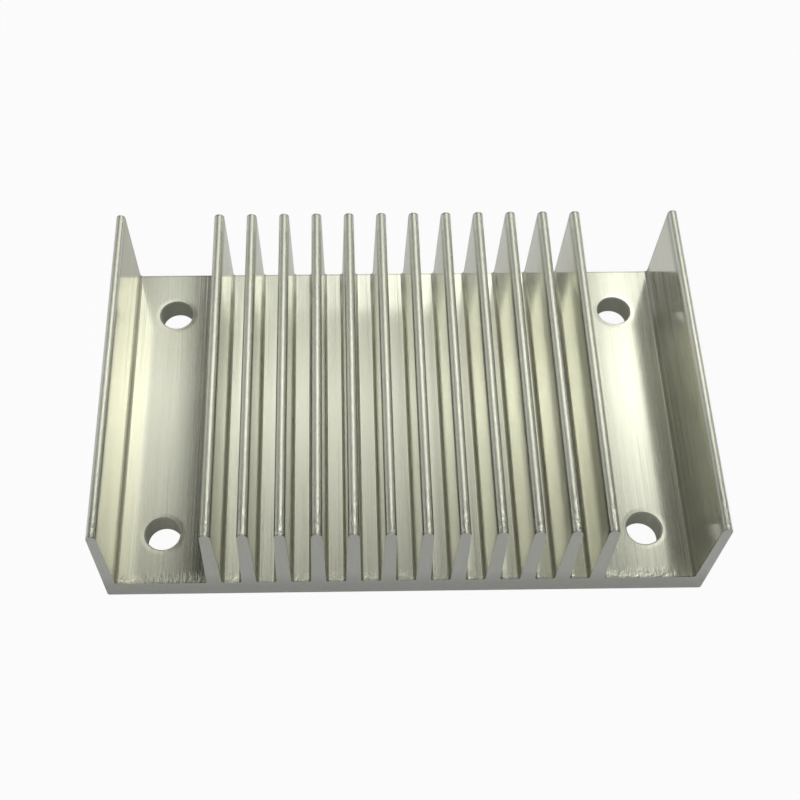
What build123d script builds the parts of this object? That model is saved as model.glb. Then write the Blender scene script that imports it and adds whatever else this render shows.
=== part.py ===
"""Extruded aluminium heat sink that screws down on a flat power module.

The origin is under the middle of the base. X runs across the fins, Y along them and Z up.
"""
import os
from math import cos, radians, sin, tan

from build123d import *

# The cut piece, in millimetres
width = 57.9
length = 36.8
height = 12.7
base_thickness = 2.5
base_corner_radius = 0.25
root_fillet = 0.3

# Fins, with round tips and both flanks drafted, in degrees
fin_count = 12
fin_inset = 10.58  # from the side face to the middle of the first fin
fin_tip_radius = 0.5
fin_draft = 1.3

# Side walls, upright outside and drafted inside
wall_tip_radius = 0.45
wall_draft = 1.1

# Screw holes, one over each threaded insert in the corners of the module
hole_diameter = 3.4
hole_inset_x = 5.35  # from the side face to the middle of the hole
hole_inset_y = 5.3  # from the cut end to the middle of the hole
hole_edge_break = 0.12

fin_pitch = (width - 2 * fin_inset) / (fin_count - 1)
hole_spacing_x = width - 2 * hole_inset_x
hole_spacing_y = length - 2 * hole_inset_y


def inner_flank(tip_x, tip_radius, draft):
    """Flank on the middle side of a blade, from the underside up to its round tip."""
    lean = radians(draft)
    top_x = tip_x - tip_radius * cos(lean)
    top_z = height - tip_radius + tip_radius * sin(lean)
    return Line((top_x - top_z * tan(lean), 0), (top_x, top_z))


# Outline of one fin on the centre line, which reaches down through the base
with BuildSketch() as fin:
    with BuildLine() as fin_outline:
        flank = inner_flank(0, fin_tip_radius, fin_draft)
        far_flank = mirror(flank, about=Plane.YZ)
        ThreePointArc(flank @ 1, (0, height), far_flank @ 1)
        Line(flank @ 0, far_flank @ 0)
    make_face()

# Outline of the right side wall, flush with the edge of the base
with BuildSketch() as wall:
    with BuildLine() as wall_outline:
        tip_x = width / 2 - wall_tip_radius
        inner_face = inner_flank(tip_x, wall_tip_radius, wall_draft)
        outer_face = Line((width / 2, 0), (width / 2, height - wall_tip_radius))
        ThreePointArc(inner_face @ 1, (tip_x, height), outer_face @ 1)
        Line(inner_face @ 0, outer_face @ 0)
    make_face()

with BuildPart() as heat_sink:
    # Section of the extrusion: base plate, fins and side walls in one
    with BuildSketch(Plane.XZ) as section:
        Rectangle(width, base_thickness, align=(Align.CENTER, Align.MIN))
        with GridLocations(fin_pitch, 0, fin_count, 1):
            add(fin.sketch)
        add(wall.sketch)
        mirror(wall.sketch, about=Plane.YZ)
        roots = section.vertices().filter_by_position(Axis.Y, base_thickness, base_thickness)
        fillet(roots, radius=root_fillet)
        fillet(section.vertices().group_by(Axis.Y)[0], radius=base_corner_radius)
    extrude(amount=length / 2, both=True)

    # Four holes drilled through the base, with both rims lightly broken
    with Locations(Plane.XY.offset(base_thickness)):
        with GridLocations(hole_spacing_x, hole_spacing_y, 2, 2):
            Hole(hole_diameter / 2)
    rims = heat_sink.edges(Select.LAST).filter_by(GeomType.CIRCLE)
    chamfer(rims, length=hole_edge_break)

heat_sink.part.label = "heat_sink"

os.makedirs("parts", exist_ok=True)
export_step(heat_sink.part, "parts/heat_sink.step")
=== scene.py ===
from math import radians

import bmesh
import bpy
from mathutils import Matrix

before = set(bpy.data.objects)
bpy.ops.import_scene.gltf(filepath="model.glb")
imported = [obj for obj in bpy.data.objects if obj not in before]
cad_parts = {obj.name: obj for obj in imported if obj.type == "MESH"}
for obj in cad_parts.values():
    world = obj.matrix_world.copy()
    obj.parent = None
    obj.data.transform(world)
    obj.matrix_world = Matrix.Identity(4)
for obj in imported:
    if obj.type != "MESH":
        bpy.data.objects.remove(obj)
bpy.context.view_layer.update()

# The heat sink is one length of extruded aluminium, sawn square and drilled at its four corners.
# A thin clear conversion coat leaves the drawn faces bright and faintly yellow, with die lines
# along the fins, while the sawn ends stay matt and grey.

MM = 0.001

# Sizes of the part that the finish follows, in millimetres like all that the material measures
LENGTH = 36.8
CUT = LENGTH / 2  # from the middle to either sawn end
FRONT = -CUT
BASE_TOP = 2.5
LEFT_WALL = -27.6  # where its root begins
INNER_REACH = 28.3  # within the walls, so that it parts their inner faces from their outer ones
HOLE_X = 23.6
HOLE_Y = 13.1
HOLE_REACH = 1.83  # radius of a hole with its broken rim

# Heights between which a zone comes in or fades out
ROOT_IN = (2.5005, 2.505)
ROOT_OUT = (2.8, 4.0)
SHOULDER_IN = (11.2, 12.0)
SHOULDER_OUT = (12.25, 12.5)
TIP_IN = (11.9, 12.3)
LEFT_WALL_SHADE_OUT = (11.4, 12.0)
BASE_SHADE_OUT = (1.8, 4.5)

# The same from the front edge, and from the middle towards either side
TORN_OUT = (0.4, 1.5)
NICKED_OUT = (0.5, 6.0)
RIGHT_SHADE_IN = (26.5, 26.8)
BAY_RISE_IN = (25.5, 19.0)

# Widths of the marks: the scoring is too fine to show as lines, and shows as a satin spread of light
SCORING = 0.01
DIE_BAND = 1.1
SAW_MARK = 0.16
FEED_RING = 0.15
SMUDGES = 0.22  # how many there are in a millimetre

# Roughness from the die, from wear and from the tools
SMOOTH = 0.085
SCORED = 0.5
NICKED_TIP = 0.15
WORN_TIP = 0.26
DULL_ROOT = 0.42
DRILLED = 0.5
SAWN = 0.62

# Depth of relief, of which only the rise of the bay floor towards the fins is more than a scratch
DIE_DEPTH = 0.0011 * MM
RIM_DEPTH = 0.006 * MM
BAY_DEPTH = 0.2 * MM
NICK_DEPTH = 0.06 * MM
BURR_DEPTH = 0.04 * MM


def colour(hex_code):
    """An sRGB hex colour as linear RGBA."""
    channels = [int(hex_code[start:start + 2], 16) / 255 for start in (1, 3, 5)]
    return [c / 12.92 if c <= 0.04045 else ((c + 0.055) / 1.055) ** 2.4 for c in channels] + [1]


def add(tree, kind, inputs=None, **settings):
    """One node with its settings made and its inputs filled or linked."""
    made = tree.nodes.new(kind)
    for name, value in settings.items():
        setattr(made, name, value)
    for key, value in (inputs or {}).items():
        if isinstance(value, bpy.types.NodeSocket):
            tree.links.new(value, made.inputs[key])
        else:
            made.inputs[key].default_value = value
    return made


def extruded_aluminium():
    """Drawn aluminium under a clear conversion coat, with sawn ends and drilled holes."""
    material = bpy.data.materials.new("extruded_aluminium")
    material.use_nodes = True
    tree = material.node_tree
    tree.nodes.clear()
    coordinates = add(tree, "ShaderNodeTexCoord")
    mm = add(tree, "ShaderNodeMapping", {
        "Vector": coordinates.outputs["Object"], "Scale": (1 / MM, 1 / MM, 1 / MM),
    })
    axes = add(tree, "ShaderNodeSeparateXYZ", {"Vector": mm.outputs[0]})
    x = axes.outputs["X"]
    y = axes.outputs["Y"]
    z = axes.outputs["Z"]
    along = add(tree, "ShaderNodeMath", {0: y}, operation="ABSOLUTE")
    across = add(tree, "ShaderNodeMath", {0: x}, operation="ABSOLUTE")

    # Where the saw and the drill have been
    sawn = add(tree, "ShaderNodeMapRange", {
        "Value": along.outputs[0], "From Min": CUT - 0.012, "From Max": CUT - 0.006,
    })
    # Painted shade: a thin dark line just inside each sawn edge
    edge_shade = add(tree, "ShaderNodeMapRange", {
        "Value": along.outputs[0], "From Min": CUT - 0.22, "From Max": CUT - 0.1,
        "To Min": 0.0, "To Max": 0.35,
    })
    torn_edge = add(tree, "ShaderNodeMapRange", {
        "Value": y, "From Min": FRONT + TORN_OUT[1], "From Max": FRONT + TORN_OUT[0],
    }, interpolation_type="SMOOTHSTEP")
    from_hole_x = add(tree, "ShaderNodeMath", {0: across.outputs[0], 1: HOLE_X}, operation="SUBTRACT")
    from_hole_y = add(tree, "ShaderNodeMath", {0: along.outputs[0], 1: HOLE_Y}, operation="SUBTRACT")
    from_hole = add(tree, "ShaderNodeCombineXYZ", {
        "X": from_hole_x.outputs[0], "Y": from_hole_y.outputs[0],
    })
    hole_radius = add(tree, "ShaderNodeVectorMath", {0: from_hole.outputs[0]}, operation="LENGTH")
    drilled = add(tree, "ShaderNodeMath", {
        0: hole_radius.outputs["Value"], 1: HOLE_REACH,
    }, operation="LESS_THAN")
    rolled_rim = add(tree, "ShaderNodeMapRange", {
        "Value": hole_radius.outputs["Value"], "From Min": HOLE_REACH - 0.1, "From Max": HOLE_REACH + 0.45,
    }, interpolation_type="SMOOTHSTEP")

    # Masks for the tips, the shoulders below them and the roots, which take painted shade in the colour and
    # a rougher finish
    tip = add(tree, "ShaderNodeMapRange", {
        "Value": z, "From Min": TIP_IN[0], "From Max": TIP_IN[1],
    }, interpolation_type="SMOOTHSTEP")
    shoulder_in = add(tree, "ShaderNodeMapRange", {
        "Value": z, "From Min": SHOULDER_IN[0], "From Max": SHOULDER_IN[1], "To Min": 0.0, "To Max": 0.4,
    }, interpolation_type="SMOOTHSTEP")
    shoulder_out = add(tree, "ShaderNodeMapRange", {
        "Value": z, "From Min": SHOULDER_OUT[0], "From Max": SHOULDER_OUT[1], "To Min": 1.0, "To Max": 0.0,
    })
    shoulder = add(tree, "ShaderNodeMath", {
        0: shoulder_in.outputs[0], 1: shoulder_out.outputs[0],
    }, operation="MULTIPLY")
    inside = add(tree, "ShaderNodeMath", {0: across.outputs[0], 1: INNER_REACH}, operation="LESS_THAN")
    root_in = add(tree, "ShaderNodeMapRange", {"Value": z, "From Min": ROOT_IN[0], "From Max": ROOT_IN[1]})
    root_out = add(tree, "ShaderNodeMapRange", {
        "Value": z, "From Min": ROOT_OUT[0], "From Max": ROOT_OUT[1], "To Min": 1.0, "To Max": 0.0,
    })
    inner_root = add(tree, "ShaderNodeMath", {
        0: root_in.outputs[0], 1: inside.outputs[0],
    }, operation="MULTIPLY")
    root = add(tree, "ShaderNodeMath", {
        0: inner_root.outputs[0], 1: root_out.outputs[0],
    }, operation="MULTIPLY")

    # Die lines run the whole length, so their noise is long along Y and narrow across it
    fine = add(tree, "ShaderNodeMapping", {
        "Vector": mm.outputs[0], "Scale": (1 / SCORING, 0.03, 1 / SCORING),
    })
    fine_lines = add(tree, "ShaderNodeTexNoise", {
        "Vector": fine.outputs[0], "Scale": 1.0, "Detail": 2.0, "Roughness": 0.6,
    })
    broad = add(tree, "ShaderNodeMapping", {
        "Vector": mm.outputs[0], "Scale": (1 / DIE_BAND, 0.02, 1 / DIE_BAND),
    })
    broad_lines = add(tree, "ShaderNodeTexNoise", {
        "Vector": broad.outputs[0], "Scale": 1.0, "Detail": 2.0, "Roughness": 0.5,
    })

    # The coat is not even: yellower in some bands, greener in others; the inner left wall gets painted shade
    coat = add(tree, "ShaderNodeMix", {
        0: broad_lines.outputs[0], 6: colour("#f4f5e9"), 7: colour("#f9f4e6"),
    }, data_type="RGBA")
    smudge = add(tree, "ShaderNodeTexNoise", {"Vector": mm.outputs[0], "Scale": SMUDGES, "Detail": 2.0})
    drawn_colour = add(tree, "ShaderNodeMix", {
        0: smudge.outputs[0], 6: coat.outputs[2], 7: colour("#f4f5ec"),
    }, data_type="RGBA")
    # Painted shade in the roots, faint in the channels and deeper along the root of the right wall
    root_shade = add(tree, "ShaderNodeMapRange", {
        "Value": x, "From Min": RIGHT_SHADE_IN[0], "From Max": RIGHT_SHADE_IN[1],
        "To Min": 0.12, "To Max": 0.5,
    })
    shaded_root = add(tree, "ShaderNodeMath", {
        0: root.outputs[0], 1: root_shade.outputs[0],
    }, operation="MULTIPLY")
    # Painted shade on the tips and, deeper, on the shoulders just below them
    shaded_tip = add(tree, "ShaderNodeMath", {0: tip.outputs[0], 1: 0.1}, operation="MULTIPLY")
    shaded_top = add(tree, "ShaderNodeMath", {
        0: shaded_tip.outputs[0], 1: shoulder.outputs[0],
    }, operation="MAXIMUM")
    painted_shade = add(tree, "ShaderNodeMath", {
        0: shaded_root.outputs[0], 1: shaded_top.outputs[0],
    }, operation="MAXIMUM")
    shaded_colour = add(tree, "ShaderNodeMix", {
        0: painted_shade.outputs[0], 6: drawn_colour.outputs[2], 7: colour("#7c7b70"),
    }, data_type="RGBA")
    # Painted shade on the inner face of the left wall below its tip, with a yellower tint
    left_wall = add(tree, "ShaderNodeMath", {0: x, 1: LEFT_WALL}, operation="LESS_THAN")
    inner_left = add(tree, "ShaderNodeMath", {
        0: left_wall.outputs[0], 1: inside.outputs[0],
    }, operation="MULTIPLY")
    below_tip = add(tree, "ShaderNodeMapRange", {
        "Value": z, "From Min": LEFT_WALL_SHADE_OUT[0], "From Max": LEFT_WALL_SHADE_OUT[1], "To Min": 0.85, "To Max": 0.0,
    })
    inner_left_shade = add(tree, "ShaderNodeMath", {
        0: inner_left.outputs[0], 1: below_tip.outputs[0],
    }, operation="MULTIPLY")
    left_wall_shaded_colour = add(tree, "ShaderNodeMix", {
        0: inner_left_shade.outputs[0], 6: shaded_colour.outputs[2], 7: colour("#d0cdba"),
    }, data_type="RGBA")
    # The painted shade along the sawn edges darkens the colour there
    edge_shaded_colour = add(tree, "ShaderNodeMix", {
        0: edge_shade.outputs[0], 6: left_wall_shaded_colour.outputs[2], 7: colour("#6e6d66"),
    }, data_type="RGBA")

    # The saw leaves fine upright marks in the cut face, which has painted shade low down, and the drill
    # leaves rings
    saw = add(tree, "ShaderNodeMapping", {"Vector": mm.outputs[0], "Scale": (1 / SAW_MARK, 1.0, 0.3)})
    saw_marks = add(tree, "ShaderNodeTexNoise", {"Vector": saw.outputs[0], "Scale": 1.0, "Detail": 3.0})
    marked_colour = add(tree, "ShaderNodeMix", {
        0: saw_marks.outputs[0], 6: colour("#e6e6e2"), 7: colour("#f0f0ec"),
    }, data_type="RGBA")
    # Painted shade: the sawn face of the base is darker than the sawn faces of the fins
    base_face_shade = add(tree, "ShaderNodeMapRange", {
        "Value": z, "From Min": BASE_SHADE_OUT[0], "From Max": BASE_SHADE_OUT[1], "To Min": 0.8, "To Max": 0.0,
    })
    sawn_colour = add(tree, "ShaderNodeMix", {
        0: base_face_shade.outputs[0], 6: marked_colour.outputs[2], 7: colour("#d2d2ce"),
    }, data_type="RGBA")
    feed = add(tree, "ShaderNodeMapping", {"Vector": mm.outputs[0], "Scale": (0.3, 0.3, 1 / FEED_RING)})
    feed_rings = add(tree, "ShaderNodeTexNoise", {"Vector": feed.outputs[0], "Scale": 1.0, "Detail": 2.0})
    drilled_colour = add(tree, "ShaderNodeMix", {
        0: feed_rings.outputs[0], 6: colour("#d6d6ce"), 7: colour("#e6e6de"),
    }, data_type="RGBA")
    unsawn_colour = add(tree, "ShaderNodeMix", {
        0: drilled.outputs[0], 6: edge_shaded_colour.outputs[2], 7: drilled_colour.outputs[2],
    }, data_type="RGBA")
    base = add(tree, "ShaderNodeMix", {
        0: sawn.outputs[0], 6: unsawn_colour.outputs[2], 7: sawn_colour.outputs[2],
    }, data_type="RGBA")

    # Most of the drawn surface is smooth, and about a quarter is scored by the die and spreads light wide
    scored = add(tree, "ShaderNodeMapRange", {
        "Value": fine_lines.outputs[0], "From Min": 0.54, "From Max": 0.64,
        "To Min": SMOOTH, "To Max": SCORED,
    })
    tip_rough = add(tree, "ShaderNodeMapRange", {
        "Value": y, "From Min": FRONT + NICKED_OUT[0], "From Max": FRONT + NICKED_OUT[1],
        "To Min": NICKED_TIP, "To Max": WORN_TIP,
    }, interpolation_type="SMOOTHSTEP")
    worn = add(tree, "ShaderNodeMath", {0: tip.outputs[0], 1: shoulder.outputs[0]}, operation="MAXIMUM")
    worn_rough = add(tree, "ShaderNodeMix", {
        0: worn.outputs[0], 2: scored.outputs[0], 3: tip_rough.outputs[0],
    }, data_type="FLOAT")
    drawn_rough = add(tree, "ShaderNodeMix", {
        0: root.outputs[0], 2: worn_rough.outputs[0], 3: DULL_ROOT,
    }, data_type="FLOAT")
    unsawn_rough = add(tree, "ShaderNodeMix", {
        0: drilled.outputs[0], 2: drawn_rough.outputs[0], 3: DRILLED,
    }, data_type="FLOAT")
    rough = add(tree, "ShaderNodeMix", {
        0: sawn.outputs[0], 2: unsawn_rough.outputs[0], 3: SAWN,
    }, data_type="FLOAT")

    # Freshly cut metal scatters so much light in its marks that it is half or more a matt surface
    sawn_metal = add(tree, "ShaderNodeMath", {0: sawn.outputs[0], 1: -0.5, 2: 1.0}, operation="MULTIPLY_ADD")
    metal = add(tree, "ShaderNodeMath", {
        0: drilled.outputs[0], 1: -0.8, 2: sawn_metal.outputs[0],
    }, operation="MULTIPLY_ADD")

    # Relief of the die lines, of the rim that the drill rolls up, and of the bay floors
    lines = add(tree, "ShaderNodeMath", {
        0: fine_lines.outputs[0], 1: 0.01, 2: broad_lines.outputs[0],
    }, operation="MULTIPLY_ADD")
    line_relief = add(tree, "ShaderNodeBump", {
        "Height": lines.outputs[0],
        "Strength": 1.0,
        "Distance": DIE_DEPTH,
    })
    rim_relief = add(tree, "ShaderNodeBump", {
        "Height": rolled_rim.outputs[0],
        "Strength": 1.0,
        "Distance": RIM_DEPTH,
        "Normal": line_relief.outputs[0],
    })
    bay_floor = add(tree, "ShaderNodeMath", {0: z, 1: BASE_TOP, 2: 0.12}, operation="COMPARE")
    bay_slope = add(tree, "ShaderNodeMapRange", {
        "Value": across.outputs[0], "From Min": BAY_RISE_IN[0], "From Max": BAY_RISE_IN[1],
    })
    bay_rise = add(tree, "ShaderNodeMath", {0: bay_slope.outputs[0], 1: 3.0}, operation="POWER")
    bay_relief = add(tree, "ShaderNodeBump", {
        "Height": bay_rise.outputs[0],
        "Strength": bay_floor.outputs[0],
        "Distance": BAY_DEPTH,
        "Normal": rim_relief.outputs[0],
    })

    # Nicks in the tips, deepest at the front, and the ragged metal that the saw pushed up along that edge
    nick = add(tree, "ShaderNodeMapping", {"Vector": mm.outputs[0], "Scale": (6.0, 0.9, 6.0)})
    nicks = add(tree, "ShaderNodeTexNoise", {
        "Vector": nick.outputs[0], "Scale": 1.0, "Detail": 3.0, "Roughness": 0.6,
    })
    front_wear = add(tree, "ShaderNodeMapRange", {
        "Value": y, "From Min": FRONT + NICKED_OUT[0], "From Max": FRONT + NICKED_OUT[1],
        "To Min": 1.0, "To Max": 0.25,
    }, interpolation_type="SMOOTHSTEP")
    tip_wear = add(tree, "ShaderNodeMath", {
        0: tip.outputs[0], 1: front_wear.outputs[0],
    }, operation="MULTIPLY")
    tip_relief = add(tree, "ShaderNodeBump", {
        "Height": nicks.outputs[0],
        "Strength": tip_wear.outputs[0],
        "Distance": NICK_DEPTH,
        "Normal": bay_relief.outputs[0],
    })
    burr = add(tree, "ShaderNodeMapping", {"Vector": mm.outputs[0], "Scale": (1.6, 0.9, 1.6)})
    burrs = add(tree, "ShaderNodeTexNoise", {
        "Vector": burr.outputs[0], "Scale": 1.0, "Detail": 3.0, "Roughness": 0.7,
    })
    edge_relief = add(tree, "ShaderNodeBump", {
        "Height": burrs.outputs[0],
        "Strength": torn_edge.outputs[0],
        "Distance": BURR_DEPTH,
        "Normal": tip_relief.outputs[0],
    })

    # The lines spread light across the fins and hardly along them
    lengthways = add(tree, "ShaderNodeCombineXYZ", {"X": 0.02, "Y": 1.0, "Z": 0.02})
    surface = add(tree, "ShaderNodeBsdfPrincipled", {
        "Base Color": base.outputs[2],
        "Metallic": metal.outputs[0],
        "Roughness": rough.outputs[0],
        "Anisotropic": 1.0,
        "Anisotropic Rotation": 0.25,
        "Normal": edge_relief.outputs[0],
        "Tangent": lengthways.outputs[0],
    })
    add(tree, "ShaderNodeOutputMaterial", {"Surface": surface.outputs[0]})
    return material


heat_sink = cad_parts["heat_sink"]
heat_sink.material_slots[0].material = extruded_aluminium()

# The heat sink rests on a sheet of plain white paper that runs out of sight.
# The camera sees it nearly pure white, and it keeps a faint shadow of the piece.

FLOOR_SIZE = 6.0
FLOOR_DROP = 0.02 * MM
SEEN_SHARE = 0.95
MIRRORED_SHARE = 0.3

floor_mesh = bpy.data.meshes.new("floor")
shape = bmesh.new()
bmesh.ops.create_grid(shape, x_segments=1, y_segments=1, size=FLOOR_SIZE / 2)
bmesh.ops.translate(shape, verts=shape.verts, vec=(0, 0, -FLOOR_DROP))
shape.to_mesh(floor_mesh)
shape.free()
floor = bpy.data.objects.new("floor", floor_mesh)
bpy.context.scene.collection.objects.link(floor)


def white_paper():
    """Matt white paper, which glows a little towards the camera and less towards the metal."""
    material = bpy.data.materials.new("white_paper")
    material.use_nodes = True
    tree = material.node_tree
    tree.nodes.clear()
    paper = add(tree, "ShaderNodeBsdfDiffuse", {"Color": colour("#f4f4f4")})
    glow = add(tree, "ShaderNodeEmission", {"Color": colour("#ffffff"), "Strength": 1.0})
    path = add(tree, "ShaderNodeLightPath")
    mirrored = add(tree, "ShaderNodeMath", {
        0: path.outputs["Is Glossy Ray"], 1: path.outputs["Is Transmission Ray"],
    }, operation="MAXIMUM")
    mirrored_glow = add(tree, "ShaderNodeMath", {
        0: mirrored.outputs[0], 1: MIRRORED_SHARE,
    }, operation="MULTIPLY")
    seen_glow = add(tree, "ShaderNodeMath", {
        0: path.outputs["Is Camera Ray"], 1: SEEN_SHARE,
    }, operation="MULTIPLY")
    share = add(tree, "ShaderNodeMath", {
        0: seen_glow.outputs[0], 1: mirrored_glow.outputs[0],
    }, operation="MAXIMUM")
    both = add(tree, "ShaderNodeMixShader", {0: share.outputs[0], 1: paper.outputs[0], 2: glow.outputs[0]})
    add(tree, "ShaderNodeOutputMaterial", {"Surface": both.outputs[0]})
    return material


floor_mesh.materials.append(white_paper())

# Soft studio light comes from a pale room with three soft strips of light above and behind the piece.
# The room is measured in degrees of lean, the angle from straight up towards the right, and by how far
# back it lies. A level of 1 shows as white.

CEILING_LEVEL = 0.87
RIGHT_CEILING_LEVEL = 0.5
FAR_CEILING_LEVEL = 0.1
GAP_LEVEL = 0.01
LEFT_SIDE_LEVEL = 0.75
FAR_BACK_SHARE = 0.68
LAMP_LEVEL = 1.3
FRONT_LEFT_LEVEL = 0.6
FRONT_RIGHT_LEVEL = 0.08
HORIZON_LEVEL = 0.975

# Each strip has the leans at which it starts, is full, is no longer full and ends, and its level
STRIPS = {
    "left": (-12, -8.5, -7.5, -4, 1.5),
    "near": (3, 10, 13, 18.5, 2.75),
    "far": (21, 30, 34, 48, 2.6),
}

world = bpy.data.worlds.new("studio")
bpy.context.scene.world = world
world.use_nodes = True
tree = world.node_tree
tree.nodes.clear()
coordinates = add(tree, "ShaderNodeTexCoord")
direction = add(tree, "ShaderNodeSeparateXYZ", {"Vector": coordinates.outputs["Generated"]})
to_right = direction.outputs["X"]
to_back = direction.outputs["Y"]
upward = direction.outputs["Z"]
lean_angle = add(tree, "ShaderNodeMath", {0: to_right, 1: upward}, operation="ARCTAN2")
lean = add(tree, "ShaderNodeMath", {0: lean_angle.outputs[0]}, operation="DEGREES")

# The ceiling is pale over the piece, dimmer to the right of it, and ends on the left in a dark gap
ceiling_right = add(tree, "ShaderNodeMapRange", {
    "Value": lean.outputs[0], "From Min": 0.5, "From Max": 4,
    "To Min": CEILING_LEVEL, "To Max": RIGHT_CEILING_LEVEL,
})
ceiling_end = add(tree, "ShaderNodeMapRange", {
    "Value": lean.outputs[0], "From Min": 34, "From Max": 48,
    "To Min": RIGHT_CEILING_LEVEL, "To Max": FAR_CEILING_LEVEL,
})
ceiling_left = add(tree, "ShaderNodeMapRange", {
    "Value": lean.outputs[0], "From Min": -12, "From Max": -8, "To Min": GAP_LEVEL, "To Max": CEILING_LEVEL,
})
ceiling_sides = add(tree, "ShaderNodeMath", {
    0: ceiling_right.outputs[0], 1: ceiling_left.outputs[0],
}, operation="MINIMUM")
ceiling_edge = add(tree, "ShaderNodeMapRange", {
    "Value": lean.outputs[0], "From Min": 33, "From Max": 34, "To Min": 1.0, "To Max": 0.0,
})
ceiling = add(tree, "ShaderNodeMix", {
    0: ceiling_edge.outputs[0], 2: ceiling_end.outputs[0], 3: ceiling_sides.outputs[0],
}, data_type="FLOAT")
left_side = add(tree, "ShaderNodeMapRange", {
    "Value": lean.outputs[0], "From Min": -75, "From Max": -17, "To Min": LEFT_SIDE_LEVEL, "To Max": 0.0,
})
level = add(tree, "ShaderNodeMath", {0: ceiling.outputs[0], 1: left_side.outputs[0]}, operation="MAXIMUM")
for start, full, fading, end, brightness in STRIPS.values():
    rising = add(tree, "ShaderNodeMapRange", {
        "Value": lean.outputs[0], "From Min": start, "From Max": full, "To Max": brightness,
    })
    falling = add(tree, "ShaderNodeMapRange", {
        "Value": lean.outputs[0], "From Min": fading, "From Max": end, "To Min": brightness, "To Max": 0.0,
    })
    strip = add(tree, "ShaderNodeMath", {0: rising.outputs[0], 1: falling.outputs[0]}, operation="MINIMUM")
    level = add(tree, "ShaderNodeMath", {0: level.outputs[0], 1: strip.outputs[0]}, operation="MAXIMUM")

# All of it is brightest about half way up behind the piece
set_back = add(tree, "ShaderNodeMapRange", {"Value": to_back, "From Min": 0.3, "From Max": 0.53})
far_back = add(tree, "ShaderNodeMapRange", {
    "Value": to_back, "From Min": 0.54, "From Max": 0.62, "To Min": 1.0, "To Max": FAR_BACK_SHARE,
})
depth = add(tree, "ShaderNodeMath", {0: set_back.outputs[0], 1: far_back.outputs[0]}, operation="MULTIPLY")
room = add(tree, "ShaderNodeMath", {0: level.outputs[0], 1: depth.outputs[0]}, operation="MULTIPLY")

# One more lamp hangs low over the far end of the room, and lights only the back ends of the channels
lamp_left = add(tree, "ShaderNodeMapRange", {"Value": lean.outputs[0], "From Min": -4, "From Max": 1})
lamp_right = add(tree, "ShaderNodeMapRange", {
    "Value": lean.outputs[0], "From Min": 6, "From Max": 10, "To Min": 1.0, "To Max": 0.0,
})
lamp_bottom = add(tree, "ShaderNodeMapRange", {
    "Value": to_back, "From Min": 0.58, "From Max": 0.59, "To Max": LAMP_LEVEL,
})
lamp_width = add(tree, "ShaderNodeMath", {
    0: lamp_left.outputs[0], 1: lamp_right.outputs[0],
}, operation="MULTIPLY")
lamp = add(tree, "ShaderNodeMath", {
    0: lamp_width.outputs[0], 1: lamp_bottom.outputs[0],
}, operation="MULTIPLY")
overhead = add(tree, "ShaderNodeMath", {0: room.outputs[0], 1: lamp.outputs[0]}, operation="MAXIMUM")

# The room in front is dim, and dimmer still on the right
in_front = add(tree, "ShaderNodeMapRange", {
    "Value": to_back, "From Min": 0.25, "From Max": 0.41, "To Min": 1.0, "To Max": 0.0,
})
front_side = add(tree, "ShaderNodeMapRange", {
    "Value": lean.outputs[0], "From Min": -10, "From Max": 10,
    "To Min": FRONT_LEFT_LEVEL, "To Max": FRONT_RIGHT_LEVEL,
}, interpolation_type="SMOOTHSTEP")
front = add(tree, "ShaderNodeMath", {0: in_front.outputs[0], 1: front_side.outputs[0]}, operation="MULTIPLY")
strength = add(tree, "ShaderNodeMath", {0: overhead.outputs[0], 1: front.outputs[0]}, operation="ADD")

# Light from high up is a trace warmer than light from the sides
rise = add(tree, "ShaderNodeMapRange", {
    "Value": upward, "From Min": 0.35, "From Max": 0.65,
}, interpolation_type="SMOOTHSTEP")
tone = add(tree, "ShaderNodeMix", {
    0: rise.outputs[0], 6: colour("#f8fbfb"), 7: colour("#fdfff4"),
}, data_type="RGBA")

# Near the horizon the room is as white as the paper, to the camera and in the metal
path = add(tree, "ShaderNodeLightPath")
in_metal = add(tree, "ShaderNodeMath", {
    0: path.outputs["Is Glossy Ray"], 1: path.outputs["Is Transmission Ray"],
}, operation="MAXIMUM")
seen = add(tree, "ShaderNodeMath", {
    0: path.outputs["Is Camera Ray"], 1: in_metal.outputs[0],
}, operation="MAXIMUM")
horizon = add(tree, "ShaderNodeMapRange", {
    "Value": upward, "From Min": 0.12, "From Max": 0.16, "To Min": 1.0, "To Max": 0.0,
})
white = add(tree, "ShaderNodeMath", {0: seen.outputs[0], 1: horizon.outputs[0]}, operation="MULTIPLY")
shown = add(tree, "ShaderNodeMix", {
    0: white.outputs[0], 2: strength.outputs[0], 3: HORIZON_LEVEL,
}, data_type="FLOAT")
background = add(tree, "ShaderNodeBackground", {"Color": tone.outputs[2], "Strength": shown.outputs[0]})
add(tree, "ShaderNodeOutputWorld", {"Surface": background.outputs[0]})

# The camera stands close above the front edge, a little left of the middle, and looks down on the fins.
# Its place, its angle, its lens and the shift of the lens were fitted to the photo.

camera_data = bpy.data.cameras.new("camera")
camera_data.lens = 57.37
camera_data.sensor_width = 36
camera_data.shift_x = 0.0568
camera_data.shift_y = 0.0772
camera_data.clip_start = 0.001
camera = bpy.data.objects.new("camera", camera_data)
camera.location = (-6.102 * MM, -68.134 * MM, 114.863 * MM)
camera.rotation_euler = (radians(29.2335), radians(-0.221), radians(-0.8614))
bpy.context.scene.collection.objects.link(camera)
bpy.context.scene.camera = camera

bpy.context.scene.view_settings.view_transform = "Standard"
